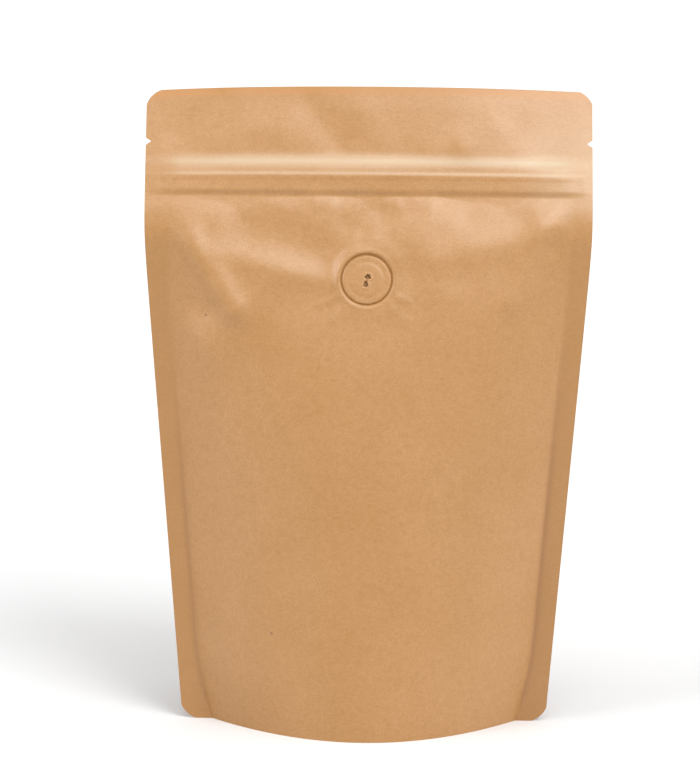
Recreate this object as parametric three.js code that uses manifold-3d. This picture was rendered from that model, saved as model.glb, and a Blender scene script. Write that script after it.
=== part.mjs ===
// A stand-up coffee pouch of kraft paper, filled and shut, with a press-to-close zip, two tear
// notches and a round one-way valve. Millimetres: X runs across the front, -Y faces the viewer
// and +Z is up. The origin is the middle of the footprint, on the surface that the pouch stands on.

import * as THREE from 'three';
import { ParametricGeometry } from 'three/addons/geometries/ParametricGeometry.js';
import { mergeGeometries, mergeVertices } from 'three/addons/utils/BufferGeometryUtils.js';
import Module from 'manifold-3d';

const wasm = await Module();
wasm.setup();

// Driving dimensions of the pouch
const POUCH_WIDTH = 160;
const FLAT_HEIGHT = 232; // before its top leans back, as are all heights here
const SIDE_SEAL = 7; // width of the band where front and back are sealed together
const FOOT_SEAL = 11; // its width at the foot, where it takes in the ends of the gusset
const FOOT_HEIGHT = 30;
const SEAL_THICKNESS = 0.8; // both laminates, pressed into one
const BASE_WIDTH = 131.8; // across the side seals where the filled pouch stands
const SHOULDER_Z = 176.6; // height where the sides start to draw in
const SHOULDER_BEND = 8; // how gently they do so
const PANEL_SLACK = 0.85; // share of the spare panel length that becomes bulge
const PANEL_TAPER = 0.265; // slope of the panel from the packed body up to the zip
const TAPER_BLEND = 2;
const SQUARE_START_Z = 60; // from here up the cross section grows squarer than a parabola
const SQUARE_END_Z = 165;
const SQUARENESS = 0.9;

// How far the top leans back, in degrees
const TOP_LEAN = 20;
const END_LEAN = 8; // what both ends lean further
const TOP_TWIST = -1; // what the right end leans further yet, and the left end less
const LEAN_START_Z = 175;
const LEAN_BEND = 14; // the height over which the lean sets in

// The zip, by the height of its lower edge, groove, upper rib and upper end
const ZIP_LOWER_Z = 192.5;
const ZIP_GROOVE_Z = 198.3;
const ZIP_RIB_Z = 200.7;
const ZIP_UPPER_Z = 206.2;
const ZIP_PROUD = 1.8;
const ZIP_GROOVE_DEPTH = 0.45;
const ZIP_HALF_LENGTH = 73;
const ZIP_FADE = 6;
const ZIP_EDGE = 0.8; // half the height of the step at its lower edge
const ZIP_GROOVE_WIDTH = 0.8;
const FLAP_BLEND = 2; // above the zip, over which the two layers come together

// Corners and tear notches, cut through the flat edges
const CORNER_CUT = 5;
const CORNER_ARC = 8;
const NOTCH_Z = 212.6;
const NOTCH_DEPTH = 2;
const NOTCH_HEIGHT = 2.8;

// The valve, and the round pocket that it sits in
const VALVE_X = -0.5;
const VALVE_Z = 163.4;
const VALVE_RADIUS = 8.9;
const VALVE_THICKNESS = 2.2;
const VALVE_CROWN = 0.5;
const POCKET_RADIUS = 9.5;
const POCKET_GAP = 0.35; // under the valve
const FLAT_RADIUS = 10; // the panel is flat so far around the valve
const FLAT_BLEND = 8; // and takes this long to swell again
const VALVE_PROUD = 0.3; // of the panel round it
const SLOPE_REACH = 6; // over which the slope of its seat is taken
const RIM_RADIUS = 0.7; // rounding of its edge
const PIN_RADIUS = 0.6;
const PIN_DEPTH = 1.4;
const PIN_PLACES = [[0.45, 1.0], [-0.3, -1.65]];

// The bottom gusset: a flat rim, and the folded sheet that rises inside it
const RIM_WIDTH = 2.5;
const GUSSET_REACH = 36; // from the rim to the fold
const GUSSET_FLARE = 4; // how steeply the fold climbs from the ends of the base
const GUSSET_POINT = 0.8; // below 1 the sheet is pinched at its fold
const GUSSET_SHARES = [-1, -0.75, -0.5, -0.25, 0, 0.25, 0.5, 0.75, 1]; // of its half depth

// Folds and dents. Each runs through points given as X and Z, with a width and a height, which is
// negative for a dent.
const FRONT_FOLDS = [
  { path: [[-75, 182], [-65, 175], [-55, 163], [-49, 153]], width: 6, height: 2.7 },
  { path: [[-75, 152], [-55, 151]], width: 6.2, height: -1.25 },
  { path: [[75.5, 188], [63.5, 181], [56.5, 168], [52.5, 156]], width: 5.2, height: 1 },
  { path: [[77, 174], [68, 175]], width: 5, height: -1.3 },
  { path: [[75.5, 159], [61.5, 151]], width: 7, height: -0.8 },
  { path: [[-65, 149], [-61, 138]], width: 8, height: 0.85 },
  { path: [[-53, 172.3], [-39, 168.8], [-25, 165.3], [-14, 162.6]], width: 4.5, height: 0.7 },
  { path: [[-41, 179.5], [-27, 176.5], [-15, 171.5]], width: 9.5, height: -1.9 },
  { path: [[24, 170], [38, 173], [52, 176.5], [64, 182.3]], width: 6, height: 0.65 },
  { path: [[38, 184.5], [52, 187.5]], width: 6.5, height: -0.7 },
  { path: [[-7, 182], [3, 186]], width: 6.3, height: -1.3 },
  { path: [[-14.5, 158], [-28.5, 156]], width: 9, height: -0.85 },
  { path: [[-41, 155.5], [-51, 147.5]], width: 16, height: 1.4 },
  { path: [[31.5, 161.5], [43.5, 153.5]], width: 18, height: 0.9 },
];
const BACK_FOLDS = [
  { path: [[-20, 181], [-34, 183], [-46, 188]], width: 6, height: 1 },
  { path: [[14, 180], [30, 183], [44, 188]], width: 6, height: 1 },
  { path: [[76, 188], [64, 180], [56, 165]], width: 7.5, height: 2 },
  { path: [[-76, 186], [-66, 179], [-55, 162]], width: 7.5, height: 2 },
];
const FLAP_FOLDS = [
  { path: [[-69, 214.6], [-62, 221], [-53, 228.4]], width: 5, height: -0.5 },
  { path: [[-54, 211.2], [-44, 217.6], [-32, 216.5]], width: 6, height: 0.55 },
  { path: [[-21, 224.8], [-16, 218.3], [-11, 210.9]], width: 5.2, height: -0.55 },
  { path: [[25.5, 207.6], [37.5, 206], [51.5, 207.6]], width: 8.5, height: 0.95 },
  { path: [[34.3, 212.7], [44.3, 218]], width: 6, height: 0.85 },
];
const FOLD_END_SHARE = 0.82; // the folds die out from here to the seal

// How finely the paper is divided
const BODY_TOP_Z = 150; // coarse rows below, finer ones up to the zip
const PANEL_COLUMNS = 34;
const BODY_ROWS = 20;
const UPPER_ROWS = 11;
const FLAP_ROWS = 8;
const CORNER_STEPS = 10;
const POCKET_STEPS = 48;
const VALVE_STEPS = 36;
const RIM_STEPS = 4;
const CROWN_STEPS = 4;
const PIN_STEPS = 12;

// How far the cutting shapes reach past what they cut
const CUTTER_DEPTH = 40;
const CUTTER_OVERLAP = 2;
const POCKET_OVERLAP = 4;
const MERGE_DISTANCE = 1e-4; // points closer than this are one point

const KRAFT = 0xd4a570;
const TINY = 1e-6;
const STEEPEST_RISE = 1.5; // a panel's rise over its half chord is searched for up to here
const HALF_SEAL = SEAL_THICKNESS / 2;

const clamp = THREE.MathUtils.clamp;
const smooth = THREE.MathUtils.smoothstep;

// Half the width of the pouch from seal edge to seal edge
function halfWidth(z) {
  const fall = (depth) => (depth + Math.hypot(depth, SHOULDER_BEND)) / 2;
  const drawIn = (POUCH_WIDTH - BASE_WIDTH) / 2;
  return POUCH_WIDTH / 2 - drawIn * fall(SHOULDER_Z - z) / fall(SHOULDER_Z);
}

function sealWidth(z) {
  return SIDE_SEAL + (FOOT_SEAL - SIDE_SEAL) * Math.max(1 - z / FOOT_HEIGHT, 0) ** 2;
}

// Half the chord of a panel, from the middle to where it leaves the seal
function halfChord(z) {
  return halfWidth(z) - sealWidth(z);
}

// A panel keeps its length between the seals, so it bulges where the seals come closer. The
// bulge is a parabola's: this is its length over its chord for a given rise over half chord.
function arcOverChord(rise) {
  return (Math.hypot(1, 2 * rise) + Math.asinh(2 * rise) / (2 * rise)) / 2;
}

function bulge(z) {
  const lengthOverChord = (POUCH_WIDTH / 2 - sealWidth(z)) / halfChord(z);
  let low = TINY;
  let high = STEEPEST_RISE;
  while (high - low > TINY) {
    const middle = (low + high) / 2;
    if (arcOverChord(middle) < lengthOverChord) {
      low = middle;
    } else {
      high = middle;
    }
  }
  const full = PANEL_SLACK * low * halfChord(z);
  const line = PANEL_TAPER * (ZIP_LOWER_Z + 1 - z);
  return Math.max((full + line - Math.hypot(full - line, TAPER_BLEND)) / 2, 0);
}

// Cross section of a panel, by the share of its half chord
function across(share, z) {
  const power = 2 + SQUARENESS * smooth(z, SQUARE_START_Z, SQUARE_END_Z);
  return Math.max(1 - Math.abs(share) ** power, 0);
}

function distanceToLine(x, z, from, to) {
  const runX = to[0] - from[0];
  const runZ = to[1] - from[1];
  const along = ((x - from[0]) * runX + (z - from[1]) * runZ) / (runX ** 2 + runZ ** 2);
  const share = clamp(along, 0, 1);
  return Math.hypot(x - from[0] - share * runX, z - from[1] - share * runZ);
}

function foldHeight(x, z, folds) {
  let height = 0;
  for (const { path, width, height: foldRise } of folds) {
    const distances = path.slice(1).map((to, i) => distanceToLine(x, z, path[i], to));
    height += foldRise * Math.exp(-((Math.min(...distances) / width) ** 2));
  }
  return height;
}

// Share of the closed flap above the zip, where both layers lie together
function flapShare(z) {
  return smooth(z, ZIP_RIB_Z, ZIP_UPPER_Z + FLAP_BLEND);
}

// The middle plane between the layers, as Y: the flap is creased
function middleY(x, z) {
  return -flapShare(z) * foldHeight(x, z, FLAP_FOLDS);
}

// The zip shows through the paper as a rib with a groove, and fades out short of the seals
function zipHeight(x, z) {
  const lower = smooth(z, ZIP_LOWER_Z - ZIP_EDGE, ZIP_LOWER_Z + ZIP_EDGE);
  const upper = 1 - smooth(z, ZIP_RIB_Z, ZIP_UPPER_Z);
  const groove = Math.exp(-(((z - ZIP_GROOVE_Z) / ZIP_GROOVE_WIDTH) ** 2));
  const fade = 1 - smooth(Math.abs(x), ZIP_HALF_LENGTH - ZIP_FADE, ZIP_HALF_LENGTH);
  return (ZIP_PROUD * lower * upper - ZIP_GROOVE_DEPTH * groove) * fade;
}

// How far a panel stands out from the middle plane
function standOut(x, z, folds) {
  const share = Math.abs(x) / halfChord(z);
  if (share >= 1) {
    return HALF_SEAL;
  }
  const folded = foldHeight(x, z, folds) * (1 - smooth(share, FOLD_END_SHARE, 1)) * (1 - flapShare(z));
  return HALF_SEAL + Math.max(bulge(z) * across(share, z) + zipHeight(x, z) + folded, 0);
}

// The front panel before the valve flattens it, as Y
function bareFront(x, z) {
  return middleY(x, z) - standOut(x, z, FRONT_FOLDS);
}

// The middle of the valve, and its slope, on the panel without its folds
function smoothFront(z) {
  return middleY(VALVE_X, z) - standOut(VALVE_X, z, []);
}

const VALVE_Y = smoothFront(VALVE_Z) - VALVE_PROUD;
const SLOPE_DROP = smoothFront(VALVE_Z + SLOPE_REACH) - smoothFront(VALVE_Z - SLOPE_REACH);
const VALVE_RISE = SLOPE_DROP / (2 * SLOPE_REACH);

function frontY(x, z) {
  const flat = VALVE_Y + VALVE_RISE * (z - VALVE_Z);
  const distance = Math.hypot(x - VALVE_X, z - VALVE_Z);
  const blend = smooth(distance, FLAT_RADIUS, FLAT_RADIUS + FLAT_BLEND);
  return THREE.MathUtils.lerp(flat, bareFront(x, z), blend);
}

function backY(x, z) {
  return middleY(x, z) + standOut(x, z, BACK_FOLDS);
}

// Evenly spaced stations that leave out the last one, so that the next run starts with it
function run(from, to, steps) {
  return Array.from({ length: steps }, (_, i) => THREE.MathUtils.lerp(from, to, i / steps));
}

// Heights of the rows of points, closer together along the zip
const ROWS = [
  ...run(0, BODY_TOP_Z, BODY_ROWS),
  ...run(BODY_TOP_Z, ZIP_LOWER_Z - ZIP_EDGE, UPPER_ROWS),
  ZIP_LOWER_Z - ZIP_EDGE,
  ZIP_LOWER_Z,
  ZIP_LOWER_Z + ZIP_EDGE,
  ZIP_GROOVE_Z - 2 * ZIP_GROOVE_WIDTH,
  ZIP_GROOVE_Z - ZIP_GROOVE_WIDTH,
  ZIP_GROOVE_Z,
  ZIP_GROOVE_Z + ZIP_GROOVE_WIDTH,
  ZIP_RIB_Z,
  (ZIP_RIB_Z + ZIP_UPPER_Z) / 2,
  ...run(ZIP_UPPER_Z, FLAT_HEIGHT, FLAP_ROWS),
  FLAT_HEIGHT,
];

// Columns across the pouch: the outer edge of a seal, then shares of the half chord of the panel
const SHARES = [...run(-1, 1, PANEL_COLUMNS), 1];
const COLUMN_COUNT = SHARES.length + 2;

function columnX(column, z) {
  if (column === 0) {
    return -halfWidth(z);
  }
  if (column === COLUMN_COUNT - 1) {
    return halfWidth(z);
  }
  return SHARES[column - 1] * halfChord(z);
}

// A sheet of points by row and column, as a parametric surface
function sheet(rows, columns, place) {
  const point = (u, v, target) => place(Math.round(v * (rows - 1)), Math.round(u * (columns - 1)), target);
  return new ParametricGeometry(point, columns - 1, rows - 1);
}

function frontSheet() {
  return sheet(ROWS.length, COLUMN_COUNT, (row, column, target) => {
    const z = ROWS[row];
    const x = columnX(column, z);
    target.set(x, frontY(x, z), z);
  });
}

function backSheet() {
  return sheet(ROWS.length, COLUMN_COUNT, (row, column, target) => {
    const z = ROWS[row];
    const x = columnX(COLUMN_COUNT - 1 - column, z);
    target.set(x, backY(x, z), z);
  });
}

// The narrow strip that closes one side, from front to back
function edgeStrip(side) {
  const edgeColumn = side > 0 ? COLUMN_COUNT - 1 : 0;
  return sheet(ROWS.length, 2, (row, column, target) => {
    const z = ROWS[row];
    const x = columnX(edgeColumn, z);
    const isFront = (column === 0) === (side > 0);
    target.set(x, isFront ? frontY(x, z) : backY(x, z), z);
  });
}

function topStrip() {
  return sheet(2, COLUMN_COUNT, (row, column, target) => {
    const x = columnX(column, FLAT_HEIGHT);
    const y = row === 0 ? frontY(x, FLAT_HEIGHT) : backY(x, FLAT_HEIGHT);
    target.set(x, y, FLAT_HEIGHT);
  });
}

// The underside, in rows from the front edge to the back edge. Inside the flat rim the gusset
// sheet climbs to its fold: it has one length everywhere, so it climbs most where the base is
// narrow. At the ends of the side seals the rows run together.
function gussetPoint(row, x, target) {
  const front = frontY(x, 0);
  const back = backY(x, 0);
  const halfDepth = (back - front) / 2;
  const inner = Math.max(halfDepth - RIM_WIDTH, halfDepth / 2);
  const climb = Math.sqrt(Math.max(GUSSET_REACH ** 2 - inner ** 2, 0));
  const foldZ = Math.min(climb, GUSSET_FLARE * Math.max(halfDepth - 2 * RIM_WIDTH, 0));
  const atSideEdge = Math.abs(x) > halfWidth(0) - FOOT_SEAL / 2;
  if (row === GUSSET_SHARES.length + 1) {
    target.set(x, back, 0);
  } else if (row === 0 || atSideEdge) {
    target.set(x, front, 0);
  } else {
    const share = GUSSET_SHARES[row - 1];
    const height = foldZ * (1 - Math.abs(share) ** GUSSET_POINT);
    target.set(x, (front + back) / 2 + share * inner, height);
  }
}

function gussetSheet() {
  return sheet(GUSSET_SHARES.length + 2, COLUMN_COUNT, (row, column, target) => {
    const x = columnX(COLUMN_COUNT - 1 - column, 0);
    gussetPoint(row, x, target);
  });
}

// A closed mesh becomes a solid that can be cut. Triangles that have run together are left out.
function toSolid(geometry) {
  const bare = geometry.index ? geometry.toNonIndexed() : geometry.clone();
  bare.deleteAttribute('normal');
  bare.deleteAttribute('uv');
  const merged = mergeVertices(bare, MERGE_DISTANCE);
  const triangles = [];
  for (let i = 0; i < merged.index.count; i += 3) {
    const [a, b, c] = merged.index.array.slice(i, i + 3);
    if (a !== b && b !== c && c !== a) {
      triangles.push(a, b, c);
    }
  }
  const mesh = new wasm.Mesh({
    numProp: 3,
    vertProperties: new Float32Array(merged.attributes.position.array),
    triVerts: new Uint32Array(triangles),
  });
  return new wasm.Manifold(mesh);
}

function toGeometry(solid) {
  const mesh = solid.getMesh();
  const geometry = new THREE.BufferGeometry();
  geometry.setAttribute('position', new THREE.BufferAttribute(mesh.vertProperties, 3));
  geometry.setIndex(new THREE.BufferAttribute(mesh.triVerts, 1));
  geometry.computeVertexNormals();
  return geometry;
}

// A flat outline in X and Z, cut straight through the pouch along Y
function cutter(outline) {
  const geometry = new THREE.ExtrudeGeometry(outline, { depth: CUTTER_DEPTH, bevelEnabled: false });
  geometry.translate(0, 0, -CUTTER_DEPTH / 2);
  geometry.rotateX(Math.PI / 2);
  return toSolid(geometry);
}

// The scrap that is punched off a corner, outside an arc that meets both edges at an angle
function cornerScrap(edgeX, edgeZ, sideX, sideZ) {
  const halfCut = CORNER_CUT / Math.SQRT2;
  const back = CORNER_CUT / 2 + Math.sqrt(CORNER_ARC ** 2 - halfCut ** 2) / Math.SQRT2;
  const startAngle = Math.atan2(back, back - CORNER_CUT);
  const endAngle = Math.atan2(back - CORNER_CUT, back);
  const outline = new THREE.Shape();
  outline.absarc(-back, -back, CORNER_ARC, startAngle, endAngle, true);
  outline.lineTo(CUTTER_OVERLAP, -CORNER_CUT);
  outline.lineTo(CUTTER_OVERLAP, CUTTER_OVERLAP);
  outline.lineTo(-CORNER_CUT, CUTTER_OVERLAP);
  outline.closePath();
  const placed = outline.getPoints(CORNER_STEPS).map((p) => new THREE.Vector2(edgeX + sideX * p.x, edgeZ + sideZ * p.y));
  return cutter(new THREE.Shape(placed));
}

function notchScrap(side) {
  const edge = side * POUCH_WIDTH / 2;
  const outline = new THREE.Shape([
    new THREE.Vector2(edge - side * NOTCH_DEPTH, NOTCH_Z),
    new THREE.Vector2(edge + side * NOTCH_DEPTH, NOTCH_Z - NOTCH_HEIGHT),
    new THREE.Vector2(edge + side * NOTCH_DEPTH, NOTCH_Z + NOTCH_HEIGHT),
  ]);
  return cutter(outline);
}

// The valve and its pocket share one frame: its Y axis points out of the panel
function placeOnPanel(geometry) {
  const outward = new THREE.Vector3(0, -1, VALVE_RISE).normalize();
  const turn = new THREE.Quaternion().setFromUnitVectors(new THREE.Vector3(0, 1, 0), outward);
  geometry.applyQuaternion(turn);
  geometry.translate(VALVE_X, VALVE_Y, VALVE_Z);
  return geometry;
}

function valvePocket() {
  const depth = VALVE_THICKNESS + POCKET_GAP;
  const length = depth + POCKET_OVERLAP;
  const geometry = new THREE.CylinderGeometry(POCKET_RADIUS, POCKET_RADIUS, length, POCKET_STEPS);
  geometry.translate(0, length / 2 - depth, 0);
  return toSolid(placeOnPanel(geometry));
}

function pouch() {
  const parts = [frontSheet(), backSheet(), edgeStrip(1), edgeStrip(-1), topStrip(), gussetSheet()];
  let solid = toSolid(mergeGeometries(parts.map((part) => part.toNonIndexed())));
  for (const side of [-1, 1]) {
    solid = solid.subtract(cornerScrap(side * POUCH_WIDTH / 2, FLAT_HEIGHT, side, 1));
    solid = solid.subtract(cornerScrap(side * halfWidth(0), 0, side, -1));
    solid = solid.subtract(notchScrap(side));
  }
  return toGeometry(solid.subtract(valvePocket()).warp(leanBack));
}

// Bends the top back round an arc, from where it runs straight. The paper keeps its length.
function leanBack(point) {
  const [x, y, z] = point;
  const sideShare = x / (POUCH_WIDTH / 2);
  const angle = THREE.MathUtils.degToRad(TOP_LEAN + END_LEAN * sideShare ** 2 + TOP_TWIST * sideShare);
  const above = Math.max(z - LEAN_START_Z, 0);
  const bent = Math.min(above, LEAN_BEND);
  const straight = above - bent;
  const turn = (angle * bent) / LEAN_BEND;
  const radius = LEAN_BEND / angle;
  point[1] = y + radius * (1 - Math.cos(turn)) + straight * Math.sin(turn);
  point[2] = z - above + radius * Math.sin(turn) + straight * Math.cos(turn);
}

// A shallow disc with a rounded rim and a slight crown, pierced by two pin holes
function degassingValve() {
  const profile = [new THREE.Vector2(0, -VALVE_THICKNESS), new THREE.Vector2(VALVE_RADIUS, -VALVE_THICKNESS)];
  for (let i = 0; i <= RIM_STEPS; i += 1) {
    const angle = (i / RIM_STEPS) * Math.PI / 2;
    const radius = VALVE_RADIUS - RIM_RADIUS * (1 - Math.cos(angle));
    profile.push(new THREE.Vector2(radius, -RIM_RADIUS * (1 - Math.sin(angle))));
  }
  const crownRadius = VALVE_RADIUS - RIM_RADIUS;
  for (let i = CROWN_STEPS - 1; i >= 0; i -= 1) {
    const share = i / CROWN_STEPS;
    profile.push(new THREE.Vector2(crownRadius * share, VALVE_CROWN * (1 - share ** 2)));
  }
  let solid = toSolid(placeOnPanel(new THREE.LatheGeometry(profile, VALVE_STEPS)));
  for (const [across, up] of PIN_PLACES) {
    const pin = new THREE.CylinderGeometry(PIN_RADIUS, PIN_RADIUS, 2 * PIN_DEPTH, PIN_STEPS);
    pin.translate(across, VALVE_CROWN, -up);
    solid = solid.subtract(toSolid(placeOnPanel(pin)));
  }
  return toGeometry(solid);
}

function kraft() {
  return new THREE.MeshStandardMaterial({ color: KRAFT, roughness: 0.72, metalness: 0 });
}

function named(name, geometry) {
  const mesh = new THREE.Mesh(geometry, kraft());
  mesh.name = name;
  return mesh;
}

const coffeePouch = new THREE.Group();
coffeePouch.add(named('pouch', pouch()));
coffeePouch.add(named('degassing_valve', degassingValve()));

export default coffeePouch;
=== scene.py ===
"""The looks of a stand-up kraft coffee pouch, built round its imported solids.

The paper is worked out in millimetres from the pouch's few driving sizes, and goes into the
meshes in metres. X runs across the front, -Y faces the viewer and Z is up.
"""

import math

import bpy
import numpy as np
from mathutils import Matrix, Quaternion, Vector


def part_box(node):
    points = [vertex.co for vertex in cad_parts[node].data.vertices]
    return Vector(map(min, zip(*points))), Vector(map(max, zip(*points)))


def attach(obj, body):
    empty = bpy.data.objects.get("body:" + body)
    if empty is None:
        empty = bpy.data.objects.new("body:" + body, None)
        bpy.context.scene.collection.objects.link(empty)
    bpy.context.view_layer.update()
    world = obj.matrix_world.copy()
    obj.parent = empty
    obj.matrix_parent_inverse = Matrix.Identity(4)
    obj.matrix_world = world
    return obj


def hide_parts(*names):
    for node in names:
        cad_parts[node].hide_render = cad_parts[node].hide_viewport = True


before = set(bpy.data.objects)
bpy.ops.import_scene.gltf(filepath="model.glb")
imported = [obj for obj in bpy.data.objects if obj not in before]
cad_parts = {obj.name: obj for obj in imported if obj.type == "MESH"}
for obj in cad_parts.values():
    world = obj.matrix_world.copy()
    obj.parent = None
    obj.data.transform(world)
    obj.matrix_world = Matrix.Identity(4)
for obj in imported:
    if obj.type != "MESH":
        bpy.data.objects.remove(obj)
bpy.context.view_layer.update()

MM = 0.001

# Sizes that the solids give
POUCH_LOW, POUCH_HIGH = (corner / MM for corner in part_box("pouch"))
VALVE_LOW, VALVE_HIGH = (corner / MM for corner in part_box("degassing_valve"))
POUCH_WIDTH = POUCH_HIGH.x - POUCH_LOW.x
VALVE_X = (VALVE_LOW.x + VALVE_HIGH.x) / 2
VALVE_Z = 163.4
VALVE_RADIUS = (VALVE_HIGH.x - VALVE_LOW.x) / 2

# Driving sizes of the paper, as in the solids. Heights are those before the top leans back.
FLAT_HEIGHT = 232
SIDE_SEAL = 7
FOOT_SEAL = 11
FOOT_HEIGHT = 30
HALF_SEAL = 0.4
BASE_WIDTH = 131.8
SHOULDER_Z = 176.6
SHOULDER_BEND = 8
PANEL_SLACK = 0.85
TOP_LEAN = 20
END_LEAN = 8
TOP_TWIST = -1
LEAN_START_Z = 175
LEAN_BEND = 14
PANEL_TAPER = 0.265
TAPER_BLEND = 2
SQUARE_START_Z = 60
SQUARE_END_Z = 165
SQUARENESS = 0.9
ZIP_LOWER_Z = 192.5
ZIP_RIB_Z = 200.7
ZIP_UPPER_Z = 206.2
ZIP_HALF_LENGTH = 73
FLAP_BLEND = 2
FOLD_END_SHARE = 0.82
FLAP_SLACK = 0.25
SLACK_FADE = 9
SLACK_CELL = 17
SLACK_SEED = 3
CORNER_CUT = 5
TOP_LEFT_CUT = 5.2
TOP_RIGHT_CUT = 4.3
CORNER_ARC = 8
NOTCH_Z = 212.6
NOTCH_DEPTH = 2
NOTCH_HALF_HEIGHT = 1.4
RIM_WIDTH = 2.5
GUSSET_REACH = 36
GUSSET_FLARE = 4
GUSSET_POINT = 0.8
GUSSET_ROWS = 61
GUSSET_RIPPLE = 0.4
FULL_RIPPLE_FOLD = 8
RIPPLE_CELL = 12
RIPPLE_SEED = 21

# The photograph's frame, and the camera that matches it
FRAME_LONG_SIDE = 762
FOCAL_PIXELS = 4465
SENSOR = 36
CAMERA_TARGET = (-6.08, 0, 125.16)
CAMERA_DISTANCE = 1600
CAMERA_ELEVATION = 11
CAMERA_ROLL = 0.514

# Folds of the paper: the X and Z of the points that each runs through, then its width and height.
# A dent's height is negative.
SHOULDERS = [
    ([(-75, 182), (-65, 175), (-55, 163), (-49, 153)], 6.0, 2.7),
    ([(-75, 152), (-55, 151)], 6.2, -1.25),
    ([(75.5, 188), (63.5, 181), (56.5, 168), (52.5, 156)], 5.2, 1.0),
    ([(77, 174), (68, 175)], 4.0, -1.5),
    ([(75.5, 159), (61.5, 151)], 7.0, -0.8),
    ([(-65, 149), (-61, 138)], 8.0, 0.85),
]
VALVE_RIDGES = [
    ([(-53, 172.3), (-39, 168.8), (-25, 165.3), (-14, 162.6)], 4.5, 0.7),
    ([(-41, 179.5), (-27, 176.5), (-15, 171.5)], 9.5, -1.9),
    ([(10, 169.5), (22, 184.5)], 3.0, 0.3),
    ([(24, 170), (38, 173), (52, 176.5), (64, 182.3)], 6.0, 0.65),
    ([(38, 184.5), (52, 187.5)], 6.5, -0.7),
    ([(12.5, 165), (33.5, 166)], 5.2, -0.3),
    ([(-7, 182), (3, 186)], 6.3, -1.3),
    ([(-14.5, 158), (-28.5, 156)], 9.0, -0.85),
    ([(-41, 155.5), (-51, 147.5)], 16.0, 1.4),
    ([(31.5, 161.5), (43.5, 153.5)], 18.0, 0.9),
]
VALVE_PUCKERS = [
    ([(-10.3, 157.6), (-16.8, 154.6)], 1.4, 0.25),
    ([(-8.3, 154), (-11.8, 149.5)], 2.1, 0.4),
    ([(9.2, 158.4), (14.8, 155.8)], 1.3, 0.18),
    ([(7.2, 154.3), (14.2, 149)], 1.8, 0.15),
    ([(-1.8, 174.3), (-2.3, 179.8)], 2.6, -0.3),
    ([(-9, 168.3), (-14, 171.3)], 1.7, 0.15),
]
ZIP_PUFFS = [
    ([(-19, 191), (-14, 190.5)], 3.3, 0.5),
    ([(5.8, 190.7), (9.8, 190.2)], 2.8, 0.4),
    ([(16.7, 191), (21.7, 190.5)], 3.2, 0.6),
    ([(52, 189), (59, 188)], 3.0, 0.3),
    ([(-36, 189.8), (-32, 188.8)], 2.5, 0.2),
]
FRONT_FOLDS = SHOULDERS + VALVE_RIDGES + VALVE_PUCKERS + ZIP_PUFFS
FLAP_FOLDS = [
    ([(-69, 214.6), (-62, 221), (-53, 228.4)], 3.6, -0.5),
    ([(-54, 211.2), (-44, 217.6), (-32, 216.5)], 6.0, 0.55),
    ([(-21, 224.8), (-16, 218.3), (-11, 210.9)], 5.2, -0.55),
    ([(-2.5, 223), (3.5, 214.5)], 5.7, 0.3),
    ([(25.5, 207.6), (37.5, 206), (51.5, 207.6)], 8.5, 0.95),
    ([(34.3, 212.7), (44.3, 218)], 6.0, 0.85),
]
BACK_FOLDS = [
    ([(-20, 181), (-34, 183), (-46, 188)], 6.0, 1.0),
    ([(14, 180), (30, 183), (44, 188)], 6.0, 1.0),
    ([(-8, 178), (4, 187)], 5.0, -0.6),
    ([(76, 188), (64, 180), (56, 165)], 7.5, 2.0),
    ([(-76, 186), (-66, 179), (-55, 162)], 7.5, 2.0),
]


# Shape of the paper

TINY = 1e-6
STEEPEST_RISE = 1.5
SEARCH_STEPS = 24


def smooth(value, low, high):
    share = np.clip((value - low) / (high - low), 0, 1)
    return share * share * (3 - 2 * share)


def fall(depth):
    return (depth + np.hypot(depth, SHOULDER_BEND)) / 2


def half_width(z):
    draw_in = (POUCH_WIDTH - BASE_WIDTH) / 2
    return POUCH_WIDTH / 2 - draw_in * fall(SHOULDER_Z - z) / fall(SHOULDER_Z)


def seal_width(z):
    return SIDE_SEAL + (FOOT_SEAL - SIDE_SEAL) * np.maximum(1 - z / FOOT_HEIGHT, 0) ** 2


def half_chord(z):
    return half_width(z) - seal_width(z)


def arc_over_chord(rise):
    """Length of a parabola over its chord, for its rise over half the chord."""
    return (np.hypot(1, 2 * rise) + np.arcsinh(2 * rise) / (2 * rise)) / 2


def bulge(z):
    """The panel keeps its length between the seals, so it bulges where they come closer.

    Towards the zip it runs straight to the closed line.
    """
    wanted = (POUCH_WIDTH / 2 - seal_width(z)) / half_chord(z)
    low = np.full_like(z, TINY)
    high = np.full_like(z, STEEPEST_RISE)
    for _ in range(SEARCH_STEPS):
        middle = (low + high) / 2
        short = arc_over_chord(middle) < wanted
        low = np.where(short, middle, low)
        high = np.where(short, high, middle)
    full = PANEL_SLACK * low * half_chord(z)
    line = PANEL_TAPER * (ZIP_LOWER_Z + 1 - z)
    lesser = (full + line - np.hypot(full - line, TAPER_BLEND)) / 2
    return np.maximum(lesser, 0)


def across(share, z):
    """Cross section of a panel: a parabola at the foot, and squarer towards the shoulders."""
    power = 2 + SQUARENESS * smooth(z, SQUARE_START_Z, SQUARE_END_Z)
    return np.clip(1 - np.abs(share) ** power, 0, 1)


def lean_back(places):
    """Bends the top back round an arc, from where it runs straight. The paper keeps its length."""
    side_share = places[..., 0] / (POUCH_WIDTH / 2)
    angle = np.radians(TOP_LEAN + END_LEAN * side_share ** 2 + TOP_TWIST * side_share)
    above = np.maximum(places[..., 2] - LEAN_START_Z, 0)
    bent = np.minimum(above, LEAN_BEND)
    turn = angle * bent / LEAN_BEND
    radius = LEAN_BEND / angle
    leant = places.copy()
    leant[..., 1] += radius * (1 - np.cos(turn)) + (above - bent) * np.sin(turn)
    leant[..., 2] += radius * np.sin(turn) + (above - bent) * np.cos(turn) - above
    return leant


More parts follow.
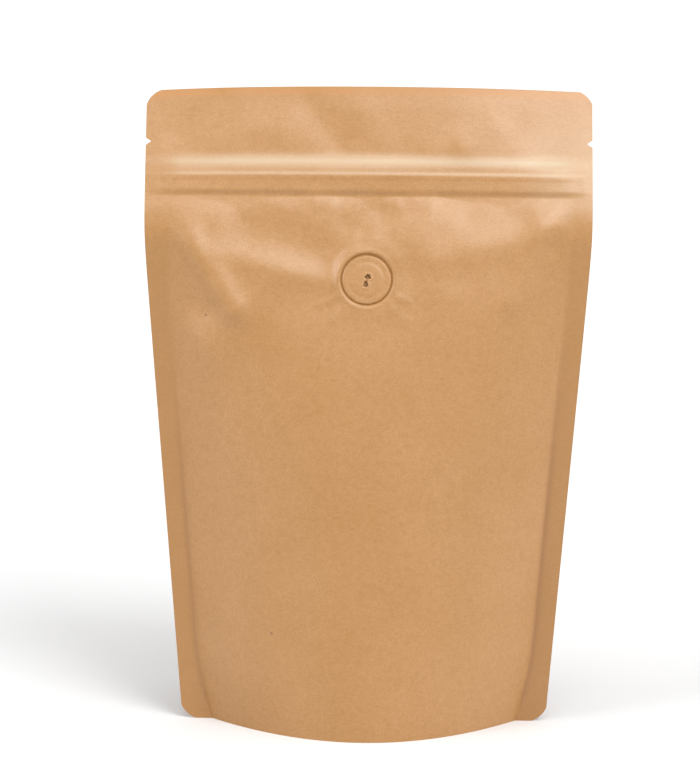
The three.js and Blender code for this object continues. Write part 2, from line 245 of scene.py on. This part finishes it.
def distance_to_path(x, z, path):
    nearest = np.full(x.shape, np.inf)
    for start, end in zip(path, path[1:]):
        run_x = end[0] - start[0]
        run_z = end[1] - start[1]
        along = ((x - start[0]) * run_x + (z - start[1]) * run_z) / (run_x ** 2 + run_z ** 2)
        share = np.clip(along, 0, 1)
        away = np.hypot(x - start[0] - share * run_x, z - start[1] - share * run_z)
        nearest = np.minimum(nearest, away)
    return nearest


def fold_height(x, z, folds):
    height = np.zeros_like(x)
    for path, width, rise in folds:
        height += rise * np.exp(-((distance_to_path(x, z, path) / width) ** 2))
    return height


def soft_noise(x, z, cell, seed):
    """Smooth random heights from -1 to 1 on a lattice of the given cell size."""
    lattice = np.random.default_rng(seed).uniform(-1, 1, (256, 256))
    column = (x + 200) / cell
    row = (z + 200) / cell
    left = np.floor(column).astype(int)
    below = np.floor(row).astype(int)
    across = smooth(column - left, 0, 1)
    up = smooth(row - below, 0, 1)

    def at(i, j):
        return lattice[(left + i) % 256, (below + j) % 256]

    lower = at(0, 0) * (1 - across) + at(1, 0) * across
    upper = at(0, 1) * (1 - across) + at(1, 1) * across
    return lower * (1 - up) + upper * up


FRONT_SEED = 11
BACK_SEED = 47
CRUMPLE_START_Z = 120
CRUMPLE_END_Z = 175


def crumple(x, z, seed):
    """Slight waviness of the paper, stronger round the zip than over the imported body."""
    upper = smooth(z, CRUMPLE_START_Z, CRUMPLE_END_Z)
    broad = soft_noise(x, z, 22, seed) * (0.16 + 0.1 * upper)
    middle = soft_noise(x + z / 3, z - x / 4, 9, seed + 1) * (0.03 + 0.09 * upper)
    fine = soft_noise(x, z, 3.6, seed + 2) * (0.008 + 0.012 * upper)
    return broad + middle + fine


# The zip seen through the paper: height up the pouch, and how far the paper stands proud there
ZIP_PROFILE = [
    (192.1, 0), (192.8, 0.2), (194.2, 0.95), (194.8, 1.1), (197.9, 1.4), (198.3, 1.46), (198.9, 1.61),
    (199.6, 1.72), (200.3, 1.78), (200.9, 1.56), (201.5, 1.52), (202.6, 1.43), (203.4, 1.28), (206.6, 0.2),
    (207.3, 0.04), (208, 0),
]
ZIP_SOFTENING = 0.25
CRUSH_START = ZIP_HALF_LENGTH - 5
CRUSH_END = ZIP_HALF_LENGTH + 3
PANEL_EDGE = ZIP_HALF_LENGTH + SIDE_SEAL
CRUSHED_SHARE = 0.65


def zip_height(x, z):
    """The ribs that the zip presses into the paper, crushed in the seals and gone at the edge."""
    stations, heights = zip(*ZIP_PROFILE)
    shifts = (-ZIP_SOFTENING, 0, ZIP_SOFTENING)
    profile = sum(np.interp(z + shift, stations, heights) for shift in shifts) / len(shifts)
    away = np.abs(x)
    crushed = smooth(away, CRUSH_START, CRUSH_END)
    gone = smooth(away, CRUSH_END, PANEL_EDGE)
    return profile * (1 - CRUSHED_SHARE * crushed - (1 - CRUSHED_SHARE) * gone)


def sway(x, z):
    """Shape of the closed flap above the zip, which both layers share."""
    above_zip = smooth(z, ZIP_RIB_Z, ZIP_UPPER_Z + FLAP_BLEND)
    return -above_zip * fold_height(x, z, FLAP_FOLDS)


def stand_out(x, z, lumps):
    """How far a panel stands out from the middle plane, with its folds and dents."""
    share = x / half_chord(z)
    inside = np.abs(share) < 1
    edge = 1 - smooth(np.abs(share), FOLD_END_SHARE, 1)
    flap = smooth(z, ZIP_RIB_Z, ZIP_UPPER_Z + FLAP_BLEND)
    panel = bulge(z) * across(share, z) + lumps * edge * (1 - flap)
    top_fade = smooth(FLAT_HEIGHT - z, 0, SLACK_FADE)
    slack = FLAP_SLACK * flap * edge * (1 + soft_noise(x, z, SLACK_CELL, SLACK_SEED)) * top_fade
    return HALF_SEAL + np.where(inside, np.maximum(panel, 0) + slack, 0) + zip_height(x, z)


# The valve and its seat

SEAT_RADIUS = 9.6
SEAT_DEPTH = 0.9
SEAT_WALL = 0.75
SEAT_CLEARING = 4
FLAT_RADIUS = 10
FLAT_BLEND = 8
VALVE_PROUD = 0.3
SLOPE_REACH = 6.0
LIP_HEIGHT = 0.1
LIP_OFFSET = 0.9
LIP_WIDTH = 0.7
WALL_BLEND = 0.2


def smooth_front(x, z):
    """The panel's own bulge, without folds."""
    return -stand_out(x, z, np.zeros_like(x))


def valve_slope():
    x = np.array([VALVE_X, VALVE_X])
    lower, upper = smooth_front(x, np.array([VALVE_Z - SLOPE_REACH, VALVE_Z + SLOPE_REACH]))
    return float(upper - lower) / (2 * SLOPE_REACH)


VALVE_Y = float(smooth_front(np.array([VALVE_X]), np.array([VALVE_Z]))[0]) - VALVE_PROUD
VALVE_RISE = valve_slope()


def front_y(x, z):
    flat = VALVE_Y + VALVE_RISE * (z - VALVE_Z)
    distance = np.hypot(x - VALVE_X, (z - VALVE_Z) * math.hypot(1, VALVE_RISE))
    clear = smooth(distance, SEAT_RADIUS, SEAT_RADIUS + SEAT_CLEARING)
    lumps = (fold_height(x, z, FRONT_FOLDS) + crumple(x, z, FRONT_SEED)) * clear
    surface = sway(x, z) - stand_out(x, z, lumps)
    blend = smooth(distance, FLAT_RADIUS, FLAT_RADIUS + FLAT_BLEND)
    surface += (flat - smooth_front(x, z)) * (1 - blend)
    lip = LIP_HEIGHT * np.exp(-(((distance - SEAT_RADIUS - LIP_OFFSET) / LIP_WIDTH) ** 2))
    seat = SEAT_DEPTH * (1 - smooth(distance, SEAT_RADIUS - SEAT_WALL, SEAT_RADIUS + WALL_BLEND))
    return surface - lip + seat


def back_y(x, z):
    lumps = fold_height(x, z, BACK_FOLDS) + crumple(x, z, BACK_SEED)
    return sway(x, z) + stand_out(x, z, lumps)


# Grids of points

BODY_TOP_Z = 150
SHOULDER_TOP_Z = 177
ZIP_ROWS_START_Z = 189
ZIP_ROWS_END_Z = 208.5
COLUMN_STEP = 0.0165
VALVE_COLUMN_STEP = 0.0046
FINE_HALF_WIDTH = 12.5


def run(low, high, step):
    """Even stations from low towards high, which the next run starts with."""
    count = max(round((high - low) / step), 1)
    return np.linspace(low, high, count, endpoint=False)


def row_heights():
    runs = [
        run(0, CORNER_CUT, 0.4),
        run(CORNER_CUT, BODY_TOP_Z, 1.1),
        run(BODY_TOP_Z, SHOULDER_TOP_Z, 0.34),
        run(SHOULDER_TOP_Z, ZIP_ROWS_START_Z, 0.8),
        run(ZIP_ROWS_START_Z, ZIP_ROWS_END_Z, 0.3),
        run(ZIP_ROWS_END_Z, NOTCH_Z - NOTCH_HALF_HEIGHT, 0.6),
        run(NOTCH_Z - NOTCH_HALF_HEIGHT, NOTCH_Z, 0.2),
        run(NOTCH_Z, NOTCH_Z + NOTCH_HALF_HEIGHT, 0.2),
        run(NOTCH_Z + NOTCH_HALF_HEIGHT, FLAT_HEIGHT - CORNER_CUT, 0.9),
        run(FLAT_HEIGHT - CORNER_CUT, FLAT_HEIGHT, 0.33),
    ]
    return np.append(np.concatenate(runs), FLAT_HEIGHT)


def column_shares():
    """Shares of the half chord, closer together across the valve."""
    fine = FINE_HALF_WIDTH / (POUCH_WIDTH / 2 - SIDE_SEAL)
    runs = [
        run(-1, -fine, COLUMN_STEP),
        run(-fine, fine, VALVE_COLUMN_STEP),
        run(fine, 1, COLUMN_STEP),
    ]
    return np.append(np.concatenate(runs), 1)


def corner_inset(depth, cut):
    """How far the punched corner lies inside the edge, at a depth below it."""
    half_cut_chord = cut / math.sqrt(2)
    back = cut / 2 + math.sqrt(CORNER_ARC ** 2 - half_cut_chord ** 2) / math.sqrt(2)
    reach = np.sqrt(CORNER_ARC ** 2 - (back - np.clip(depth, 0, cut)) ** 2)
    return np.where(depth < cut, back - reach, 0)


def edge_x(z, top_cut):
    """Outer edge of a side seal, with its cut corners and tear notch."""
    notch = NOTCH_DEPTH * np.maximum(1 - np.abs(z - NOTCH_Z) / NOTCH_HALF_HEIGHT, 0)
    corners = corner_inset(FLAT_HEIGHT - z, top_cut) + corner_inset(z, CORNER_CUT)
    return half_width(z) - corners - notch


SEAL_STEPS = 8
CREASE_WIDTH = 0.9


def grid_x(rows):
    """X of every point of a panel, by row and column, from the left edge to the right."""
    shares = column_shares()
    chord = half_chord(rows)[:, None]
    steps = np.linspace(1, 0, SEAL_STEPS, endpoint=False)[None, :]
    left = -chord - (edge_x(rows, TOP_LEFT_CUT)[:, None] - chord) * steps
    right = chord + (edge_x(rows, TOP_RIGHT_CUT)[:, None] - chord) * steps[:, ::-1]
    return np.hstack([left, shares[None, :] * chord, right])


OPENING_DEPTH = 1.6
OPENING_START = 12
OPENING_END = 4
OPENING_ROWS = [(0.3, 0), (0.42, 1), (0.58, 1), (0.7, 0)]


def top_strip(front_edge, back_edge):
    """The cut edges of both layers, slightly parted between the side seals."""
    width = front_edge[-1, 0]
    opening = 1 - smooth(np.abs(front_edge[:, 0]), width - OPENING_START, width - OPENING_END)
    uneven = 0.75 + 0.25 * soft_noise(front_edge[:, 0], front_edge[:, 0] * 0, 14, 5)
    parts = []
    for share, sink in OPENING_ROWS:
        row = front_edge * (1 - share) + back_edge * share
        row[:, 2] -= sink * OPENING_DEPTH * opening * uneven
        parts.append(row)
    return np.stack([front_edge] + parts + [back_edge])


def gusset_strip(front_edge, back_edge):
    """The underside: a flat rim, and inside it the sheet that climbs to its fold."""
    front = front_edge[:, 1]
    back = back_edge[:, 1]
    half_depth = (back - front) / 2
    middle = (back + front) / 2
    inner = np.maximum(half_depth - RIM_WIDTH, half_depth / 2)
    climb = np.sqrt(np.maximum(GUSSET_REACH ** 2 - inner ** 2, 0))
    fold = np.minimum(climb, GUSSET_FLARE * np.maximum(half_depth - 2 * RIM_WIDTH, 0))
    rows = []
    for share in np.linspace(-1, 1, GUSSET_ROWS):
        row = front_edge.copy()
        row[:, 1] = middle + share * inner
        row[:, 2] = fold * (1 - abs(share) ** GUSSET_POINT)
        uneven = soft_noise(row[:, 0], row[:, 1], RIPPLE_CELL, RIPPLE_SEED)
        ripple = GUSSET_RIPPLE * uneven * (1 - share ** 2) * np.minimum(fold / FULL_RIPPLE_FOLD, 1)
        row[:, 2] = np.maximum(row[:, 2] + ripple, 0)
        rows.append(row)
    return np.stack([front_edge] + rows + [back_edge])


class Weld:
    """Collects grids of points as quads. Grids that share an edge share its points."""

    def __init__(self):
        self.points = []
        self.faces = []
        self.index = {}

    def point(self, place):
        key = tuple(np.round(place, 4))
        if key not in self.index:
            self.index[key] = len(self.points)
            self.points.append(place)
        return self.index[key]

    def grid(self, places):
        """Adds a grid. One whose rows run up and columns to the right faces the viewer."""
        rows, columns = places.shape[:2]
        ids = np.array([[self.point(p) for p in row] for row in places])
        for r in range(rows - 1):
            for c in range(columns - 1):
                corners = [ids[r, c], ids[r, c + 1], ids[r + 1, c + 1], ids[r + 1, c]]
                kept = [v for i, v in enumerate(corners) if v != corners[i - 1]]
                if len(kept) >= 3:
                    self.faces.append(kept)


SHARP_ANGLE = 48


def make_object(name, points, faces, material):
    mesh = bpy.data.meshes.new(name)
    mesh.from_pydata([tuple(p * MM) for p in points], [], faces)
    mesh.validate()
    for polygon in mesh.polygons:
        polygon.use_smooth = True
    mesh.set_sharp_from_angle(angle=math.radians(SHARP_ANGLE))
    mesh.materials.append(material)
    made = bpy.data.objects.new(name, mesh)
    bpy.context.scene.collection.objects.link(made)
    return made


def paint(made, name, values):
    """Stores one number for each point, which the material reads by name."""
    attribute = made.data.attributes.new(name, "FLOAT", "POINT")
    attribute.data.foreach_set("value", values.astype(np.float32))


def build_pouch(material):
    rows = row_heights()
    x = grid_x(rows)
    z = np.broadcast_to(rows[:, None], x.shape)
    front = np.stack([x, front_y(x, z), z], axis=-1)
    back = np.stack([x, back_y(x, z), z], axis=-1)
    weld = Weld()
    weld.grid(front)
    weld.grid(back[:, ::-1])
    weld.grid(np.stack([back[:, 0], front[:, 0]], axis=1))
    weld.grid(np.stack([front[:, -1], back[:, -1]], axis=1))
    weld.grid(top_strip(front[-1], back[-1]))
    weld.grid(gusset_strip(front[0], back[0])[:, ::-1])
    places = np.array(weld.points)
    made = make_object("pouch_paper", lean_back(places), weld.faces, material)
    paint(made, "seal", seal_shade_share(places))
    paint(made, "rim", rim_share(places))
    paint(made, "crease", crease_shade_share(places))
    paint(made, "painted_highlight", painted_highlight_share(places))
    return made


# Heights over which the painted shade on the side seals fades out
SEAL_FADE_START_Z = 165
SEAL_FADE_END_Z = 182
CREASE_FADE_START_Z = 70
CREASE_FADE_END_Z = 150
RIM_HEIGHT = 3.2
RIM_BLEND = 1
# Strength of the painted highlight over the right end of the top
RIGHT_END_PAINTED_HIGHLIGHT = 0.2


def seal_shade_share(places):
    """Share of painted shade: 1 on the side seals below the shoulders, and 0 on the panels."""
    share = np.abs(places[:, 0]) / half_chord(places[:, 2])
    below_shoulders = 1 - smooth(places[:, 2], SEAL_FADE_START_Z, SEAL_FADE_END_Z)
    return smooth(share, 0.985, 1.005) * below_shoulders


def crease_shade_share(places):
    """Share of painted shade: 1 in the crease along the inner edge of each side seal, stronger on the
    right, fading out upwards.
    """
    inward = half_chord(places[:, 2]) - np.abs(places[:, 0])
    line = np.exp(-((inward / CREASE_WIDTH) ** 2))
    strength = np.where(places[:, 0] > 0, 1, 0.7)
    fade = 1 - smooth(places[:, 2], CREASE_FADE_START_Z, CREASE_FADE_END_Z)
    return line * strength * fade * smooth(places[:, 2], 3, 12)


def rim_share(places):
    """1 along the cut top edge, where the film shows through the paper."""
    return smooth(places[:, 2], FLAT_HEIGHT - RIM_HEIGHT, FLAT_HEIGHT - RIM_HEIGHT + RIM_BLEND)


# Painted highlight at heights across the zip, on its slopes that face the light
ZIP_PAINTED_HIGHLIGHT = [
    (199.9, 0), (200.5, 0.35), (201, 0.35), (201.6, 0.1), (202.4, 0.15), (203.6, 0.35), (204.6, 0.7),
    (205.4, 0.75), (206.2, 0.45), (207.4, 0.2), (209, 0),
]


def painted_highlight_share(places):
    """Share of painted highlight: along the zip, and over the right end of the top, where the paper faces
    the light.
    """
    x, z = places[:, 0], places[:, 2]
    stations, shares = zip(*ZIP_PAINTED_HIGHLIGHT)
    along_zip = np.interp(z, stations, shares) * (1 - 0.8 * smooth(np.abs(x), 66, 76))
    right_end = RIGHT_END_PAINTED_HIGHLIGHT * smooth(x, 50, 64) * smooth(z, 182, 196) * (1 - smooth(z, 208, 230))
    return np.clip(along_zip + right_end, 0, 1)


# The valve

# X and Z of each pin hole from the middle of the valve, then half its width and height
PIN_HOLES = [(0.45, 1.0, 1.0, 0.82), (-0.3, -1.65, 0.8, 1.0)]
HOLE_DEPTH = 1.2
VALVE_CROWN = 0.35
RIM_RADIUS = 0.75
RIM_DROP = 1.1
SKIRT_DEPTH = 1.9
VALVE_STEPS = 144
PLATE_RADIUS = 6.4
PLATE_DEPTH = 0.12
CREASE_DEPTH = 0.4
DIMPLE_RADIUS = 2.6
DIMPLE_DEPTH = 0.12
HOLE_ZONE_RADIUS = 4


def valve_height(across, up):
    """Height of the paper that covers the valve, over its rim plane."""
    radius = np.hypot(across, up)
    crown = VALVE_CROWN * (1 - (radius / VALVE_RADIUS) ** 2)
    edge = np.clip((radius - VALVE_RADIUS + RIM_RADIUS) / RIM_RADIUS, 0, 1)
    rolled = -RIM_DROP * (1 - np.sqrt(1 - edge ** 2))
    plate = -PLATE_DEPTH * np.exp(-(((radius - PLATE_RADIUS) / 0.8) ** 2))
    holes = np.zeros_like(radius)
    for hole_x, hole_z, half_wide, half_tall in PIN_HOLES:
        away = np.hypot((across - hole_x) / half_wide, (up - hole_z) / half_tall)
        turn = np.arctan2(up - hole_z, across - hole_x)
        away = away + 0.12 * np.sin(3 * turn + hole_x) + 0.08 * np.sin(5 * turn + hole_z)
        holes -= HOLE_DEPTH * (1 - smooth(away, 0.55, 1.15))
        holes += 0.1 * np.exp(-(((away - 1.6) / 0.4) ** 2))
    crease_away = np.abs(across - 0.12 - 0.28 * up)
    crease = -CREASE_DEPTH * np.exp(-((crease_away / 0.3) ** 2)) * np.exp(-(((up + 0.3) / 1.9) ** 4))
    dimple = -DIMPLE_DEPTH * np.exp(-((radius / DIMPLE_RADIUS) ** 2))
    return crown + rolled + plate + holes + crease + dimple


def build_valve(material):
    radii = np.concatenate([run(0.06, 3.2, 0.1), run(3.2, 8, 0.3), run(8, VALVE_RADIUS, 0.08)])
    radii = np.append(radii, VALVE_RADIUS)
    angles = np.linspace(0, 2 * math.pi, VALVE_STEPS, endpoint=False)
    outward = np.array([0, -1, VALVE_RISE]) / math.hypot(1, VALVE_RISE)
    upward = np.array([0, VALVE_RISE, 1]) / math.hypot(1, VALVE_RISE)
    sideways = np.array([1, 0, 0])
    centre = np.array([VALVE_X, VALVE_Y, VALVE_Z])

    def place(across, up, height):
        return (
            centre
            + across[..., None] * sideways
            + up[..., None] * upward
            + height[..., None] * outward
        )

    across = radii[:, None] * np.cos(angles)[None, :]
    up = radii[:, None] * np.sin(angles)[None, :]
    face = place(across, up, valve_height(across, up))
    skirt = place(across[-1:], up[-1:], np.full((1, len(angles)), -SKIRT_DEPTH))
    grid = np.concatenate([face, skirt])
    count = len(angles)
    points = list(grid.reshape(-1, 3))
    faces = []
    for r in range(len(grid) - 1):
        for c in range(count):
            after = (c + 1) % count
            inner = r * count
            outer = inner + count
            faces.append([inner + c, outer + c, outer + after, inner + after])
    faces.append(list(range(count)))
    faces.append([(len(grid) - 1) * count + c for c in reversed(range(count))])
    made = make_object("valve_face", points, faces, material)
    depth = np.concatenate([valve_height(across, up).ravel(), np.zeros(count)])
    radius = np.concatenate([np.hypot(across, up).ravel(), np.full(count, VALVE_RADIUS)])
    # Painted shade in the pin holes, darkest where the paper dips deepest
    paint(made, "hole_shade", np.where(radius < HOLE_ZONE_RADIUS, smooth(-depth, 0.25, 0.8), 0))
    return made


# Materials

def add(tree, kind, **settings):
    node = tree.nodes.new(kind)
    for name, value in settings.items():
        setattr(node, name, value)
    return node


def link(tree, source, target):
    tree.links.new(source, target)


def noise(tree, vector, size_mm, detail=2.0, roughness=0.5):
    """Noise whose features are about the given size."""
    node = add(tree, "ShaderNodeTexNoise")
    node.inputs["Scale"].default_value = 1 / (size_mm * MM)
    node.inputs["Detail"].default_value = detail
    node.inputs["Roughness"].default_value = roughness
    link(tree, vector, node.inputs["Vector"])
    return node.outputs["Fac"]


def stretched(tree, vector, scale):
    node = add(tree, "ShaderNodeMapping")
    node.inputs["Scale"].default_value = scale
    link(tree, vector, node.inputs["Vector"])
    return node.outputs["Vector"]


def remap(tree, value, low, high, to_low, to_high):
    node = add(tree, "ShaderNodeMapRange", clamp=True)
    for name, number in (("From Min", low), ("From Max", high), ("To Min", to_low), ("To Max", to_high)):
        node.inputs[name].default_value = number
    link(tree, value, node.inputs["Value"])
    return node.outputs["Result"]


def mixed(tree, factor, first, second, blend="MIX"):
    """Mixes two colours, each a socket or a plain colour."""
    node = add(tree, "ShaderNodeMix", data_type="RGBA", blend_type=blend)
    sockets = [s for s in node.inputs if s.type == "RGBA"]
    if isinstance(factor, float):
        node.inputs["Factor"].default_value = factor
    else:
        link(tree, factor, node.inputs["Factor"])
    for socket, value in zip(sockets, (first, second)):
        if isinstance(value, tuple):
            socket.default_value = (*value, 1)
        else:
            link(tree, value, socket)
    return [s for s in node.outputs if s.type == "RGBA"][0]


def attribute(tree, name):
    return add(tree, "ShaderNodeAttribute", attribute_name=name).outputs["Fac"]


def maths(tree, operation, first, second):
    node = add(tree, "ShaderNodeMath", operation=operation)
    for socket, value in zip(node.inputs, (first, second)):
        if isinstance(value, (int, float)):
            socket.default_value = value
        else:
            link(tree, value, socket)
    return node.outputs["Value"]


PAPER = (0.339, 0.163, 0.0404)
PAPER_LIGHT = (0.387, 0.196, 0.068)
PAPER_DARK = (0.273, 0.120, 0.018)
# Painted shade toning the side seals, which catch less sheen than the bulging panels
SEAL_SHADE_TONE = (0.306, 0.141, 0.033)
# Painted shade in the crease where each panel meets its side seal
CREASE_SHADE_TONE = (0.235, 0.0975, 0.0216)
# Painted highlight along the zip and on the right end of the top
PAINTED_HIGHLIGHT_TONE = (0.42, 0.31, 0.19)
RIM_TONE = (0.375, 0.162, 0.034)
FLECK = (0.14, 0.055, 0.02)
# Painted shade in the valve's pin holes
HOLE_SHADE_TONE = (0.045, 0.014, 0.004)
SPECKS = [(-57.7, 149.8), (-33.3, 37.2)]

# Sizes of the paper's mottling in millimetres, and how strongly each tints the sheet
CLOUD_SIZE = 30
PULP_SIZE = 2.4
PULP_TINT = 0.55
FIBRE_SIZE = 0.9
FIBRE_TINT = 0.7
GRAIN_SIZE = 0.6
GRAIN_TINT = 0.5
FLECK_SIZE = 0.8


def kraft(name):
    """Brown kraft paper: mottled pulp, fine fibres across the sheet, and a few dark flecks."""
    material = bpy.data.materials.new(name)
    material.use_nodes = True
    tree = material.node_tree
    shader = tree.nodes["Principled BSDF"]
    where = add(tree, "ShaderNodeTexCoord").outputs["Object"]
    cloud = remap(tree, noise(tree, where, CLOUD_SIZE, 2), 0.35, 0.65, 0, 1)
    pulp = remap(tree, noise(tree, where, PULP_SIZE, 3), 0.3, 0.7, 0, 1)
    along = stretched(tree, where, (0.45, 1, 1))
    fibre = remap(tree, noise(tree, along, FIBRE_SIZE, 3, 0.6), 0.3, 0.7, 0, 1)
    grain = remap(tree, noise(tree, where, GRAIN_SIZE, 2), 0.3, 0.7, 0, 1)
    colour = mixed(tree, cloud, PAPER, PAPER_LIGHT)
    colour = mixed(tree, maths(tree, "MULTIPLY", pulp, PULP_TINT), colour, PAPER_DARK)
    colour = mixed(tree, maths(tree, "MULTIPLY", fibre, FIBRE_TINT), colour, PAPER_LIGHT)
    colour = mixed(tree, maths(tree, "MULTIPLY", grain, GRAIN_TINT), colour, PAPER_DARK)
    wide = stretched(tree, where, (0.5, 1, 1))
    flecks = remap(tree, noise(tree, wide, FLECK_SIZE, 1), 0.75, 0.8, 0, 0.3)
    colour = mixed(tree, flecks, colour, FLECK)
    return material, tree, shader, where, colour, fibre, grain


def finish_paper(tree, shader, colour, fibre, grain, roughness):
    link(tree, colour, shader.inputs["Base Color"])
    shader.inputs["Roughness"].default_value = roughness
    shader.inputs["Specular IOR Level"].default_value = 0.85
    relief = maths(tree, "ADD", fibre, grain)
    bump = add(tree, "ShaderNodeBump")
    bump.inputs["Strength"].default_value = 0.25
    bump.inputs["Distance"].default_value = 0.05 * MM
    link(tree, relief, bump.inputs["Height"])
    link(tree, bump.outputs["Normal"], shader.inputs["Normal"])


def pouch_material():
    material, tree, shader, where, colour, fibre, grain = kraft("kraft_paper")
    # Painted shade: the side seals below the shoulders, darker and more saturated than the panels
    colour = mixed(tree, maths(tree, "MULTIPLY", attribute(tree, "seal"), 0.5), colour, SEAL_SHADE_TONE)
    # Painted shade in the crease along the inner edge of each side seal
    colour = mixed(tree, maths(tree, "MULTIPLY", attribute(tree, "crease"), 0.8), colour, CREASE_SHADE_TONE)
    # Painted highlight on the zip's upper slope and the right end of the top
    colour = mixed(tree, attribute(tree, "painted_highlight"), colour, PAINTED_HIGHLIGHT_TONE)
    colour = mixed(tree, maths(tree, "MULTIPLY", attribute(tree, "rim"), 0.7), colour, RIM_TONE)
    for x, z in SPECKS:
        distance = add(tree, "ShaderNodeVectorMath", operation="DISTANCE")
        flat = stretched(tree, where, (1, 0, 1))
        link(tree, flat, distance.inputs[0])
        distance.inputs[1].default_value = (x * MM, 0, z * MM)
        spot = remap(tree, distance.outputs["Value"], 0.25 * MM, 0.6 * MM, 0.8, 0)
        colour = mixed(tree, spot, colour, FLECK)
    finish_paper(tree, shader, colour, fibre, grain, 0.46)
    return material


def valve_material():
    material, tree, shader, _, colour, fibre, grain = kraft("kraft_valve")
    # Painted shade in the pin holes
    colour = mixed(tree, attribute(tree, "hole_shade"), colour, HOLE_SHADE_TONE)
    finish_paper(tree, shader, colour, fibre, grain, 0.45)
    return material


FLOOR_TONE = (0.65, 0.65, 0.65)
FLOOR_HALF_SIZE = 6


def floor_material():
    material = bpy.data.materials.new("pale_floor")
    material.use_nodes = True
    shader = material.node_tree.nodes["Principled BSDF"]
    shader.inputs["Base Color"].default_value = (*FLOOR_TONE, 1)
    shader.inputs["Roughness"].default_value = 0.9
    return material


# Stage, light and camera

def build_floor():
    half = FLOOR_HALF_SIZE
    corners = ((-half, -half, 0), (half, -half, 0), (half, half, 0), (-half, half, 0))
    points = [np.array(corner) / MM for corner in corners]
    floor = make_object("floor", points, [[0, 1, 2, 3]], floor_material())


def aim(thing, place, target):
    direction = Vector(target) - Vector(place)
    thing.location = place
    thing.rotation_mode = "QUATERNION"
    thing.rotation_quaternion = direction.to_track_quat("-Z", "Y")


# Far soft lights: azimuth to the viewer's right, elevation, strength and angular size in degrees
FAR_LIGHTS = {
    "far_left": (-90, 20, 0.55, 30),
    "left_side": (-62, 30, 1.5, 30),
    "overhead": (0, 60, 0.82, 30),
    "right_front": (35, 42, 1.83, 30),
    "right_high": (45, 62, 0.25, 30),
    "right_side": (85, 15, 1.28, 30),
}
SKY = 0.503

# The near softbox, upper front right
KEY_AZIMUTH = 50
KEY_ELEVATION = 45
KEY_DISTANCE = 1.0
KEY_SIZE = 0.55
KEY_POWER = 0.9
KEY_TARGET = (0, 0, 0.13)


def direction(azimuth, elevation):
    turn = math.radians(azimuth)
    rise = math.radians(elevation)
    return np.array([math.sin(turn) * math.cos(rise), -math.cos(turn) * math.cos(rise), math.sin(rise)])


def add_light(name, kind, place, target):
    data = bpy.data.lights.new(name, kind)
    light = bpy.data.objects.new(name, data)
    bpy.context.scene.collection.objects.link(light)
    aim(light, tuple(place), tuple(target))
    return data


# A wide light over the floor behind, which keeps the background white
BACKDROP_PLACE = (0, 2.2, 1.8)
BACKDROP_TARGET = (0, 2.2, 0)
BACKDROP_SIZE = 2.4
BACKDROP_POWER = 11


def build_lights():
    for name, (azimuth, elevation, strength, spread) in FAR_LIGHTS.items():
        light = add_light(name, "SUN", direction(azimuth, elevation), (0, 0, 0))
        light.energy = strength
        light.angle = math.radians(spread)
    middle = np.array(KEY_TARGET)
    place = middle + KEY_DISTANCE * direction(KEY_AZIMUTH, KEY_ELEVATION)
    key = add_light("key", "AREA", place, middle)
    key.shape = "SQUARE"
    key.size = KEY_SIZE
    key.energy = KEY_POWER
    backdrop = add_light("backdrop", "AREA", BACKDROP_PLACE, BACKDROP_TARGET)
    backdrop.shape = "SQUARE"
    backdrop.size = BACKDROP_SIZE
    backdrop.energy = BACKDROP_POWER
    world = bpy.data.worlds.new("studio")
    world.use_nodes = True
    background = world.node_tree.nodes["Background"]
    background.inputs["Color"].default_value = (1, 1, 1, 1)
    background.inputs["Strength"].default_value = SKY
    bpy.context.scene.world = world
    bpy.context.scene.view_settings.view_transform = "Standard"


def build_camera():
    data = bpy.data.cameras.new("camera")
    data.sensor_fit = "AUTO"
    data.sensor_width = SENSOR
    data.lens = FOCAL_PIXELS * SENSOR / FRAME_LONG_SIDE
    data.clip_start = 0.05
    data.clip_end = 50
    camera = bpy.data.objects.new("camera", data)
    bpy.context.scene.collection.objects.link(camera)
    elevation = math.radians(CAMERA_ELEVATION)
    target = np.array(CAMERA_TARGET) * MM
    back = CAMERA_DISTANCE * MM * np.array([0, -math.cos(elevation), math.sin(elevation)])
    aim(camera, tuple(target + back), tuple(target))
    roll = Quaternion((0, 0, 1), math.radians(CAMERA_ROLL))
    camera.rotation_quaternion = camera.rotation_quaternion @ roll
    bpy.context.scene.camera = camera


def main():
    pouch = build_pouch(pouch_material())
    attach(pouch, "root")
    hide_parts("pouch")
    valve = build_valve(valve_material())
    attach(valve, "root")
    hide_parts("degassing_valve")
    build_floor()
    build_lights()
    build_camera()


main()
